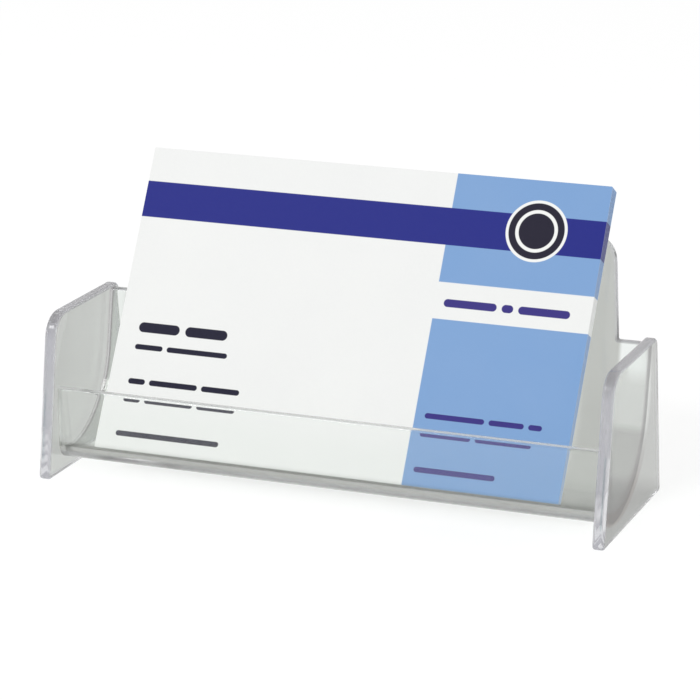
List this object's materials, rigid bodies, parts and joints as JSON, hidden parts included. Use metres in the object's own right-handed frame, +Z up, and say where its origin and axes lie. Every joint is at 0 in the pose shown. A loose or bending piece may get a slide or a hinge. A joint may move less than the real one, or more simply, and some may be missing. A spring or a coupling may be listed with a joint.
{
  "type": "business card holder stand",
  "caption": "Clear plastic desk stand with two end cheeks and a J-bent pocket in which business cards lean back, ready to be lifted out.",
  "frame": {"origin": "on the desk, under the middle of the whole object, cards included", "axes": "+X along the cards' long edge, to the right as seen from the front; +Y to the back; +Z up"},
  "size_m": [0.1026, 0.0362, 0.0529],
  "materials": {
    "clear_plastic": "clear moulded plastic, polished, slightly grey along its edges",
    "printed_card": null
  },
  "bodies": {
    "holder": {"left_cheek": "clear_plastic", "right_cheek": "clear_plastic", "pocket_panel": "clear_plastic"},
    "card_1": {"card_1": "printed_card"},
    "card_2": {"card_2": "printed_card"},
    "card_3": {"card_3": "printed_card"},
    "card_4": {"card_4": "printed_card"},
    "card_5": {"card_5": "printed_card"}
  },
  "joints": [
    {"name": "card_1_lift", "type": "slide", "parent": "holder", "child": "card_1", "axis": [0, 0.4889, 0.8723], "range_m": [0, 0.06]},
    {"name": "card_2_lift", "type": "slide", "parent": "holder", "child": "card_2", "axis": [0, 0.4947, 0.8691], "range_m": [0, 0.06]},
    {"name": "card_3_lift", "type": "slide", "parent": "holder", "child": "card_3", "axis": [0, 0.5005, 0.8658], "range_m": [0, 0.06]},
    {"name": "card_4_lift", "type": "slide", "parent": "holder", "child": "card_4", "axis": [0, 0.5062, 0.8624], "range_m": [0, 0.06]},
    {"name": "card_5_lift", "type": "slide", "parent": "holder", "child": "card_5", "axis": [0, 0.5119, 0.859], "range_m": [0, 0.06]}
  ]
}
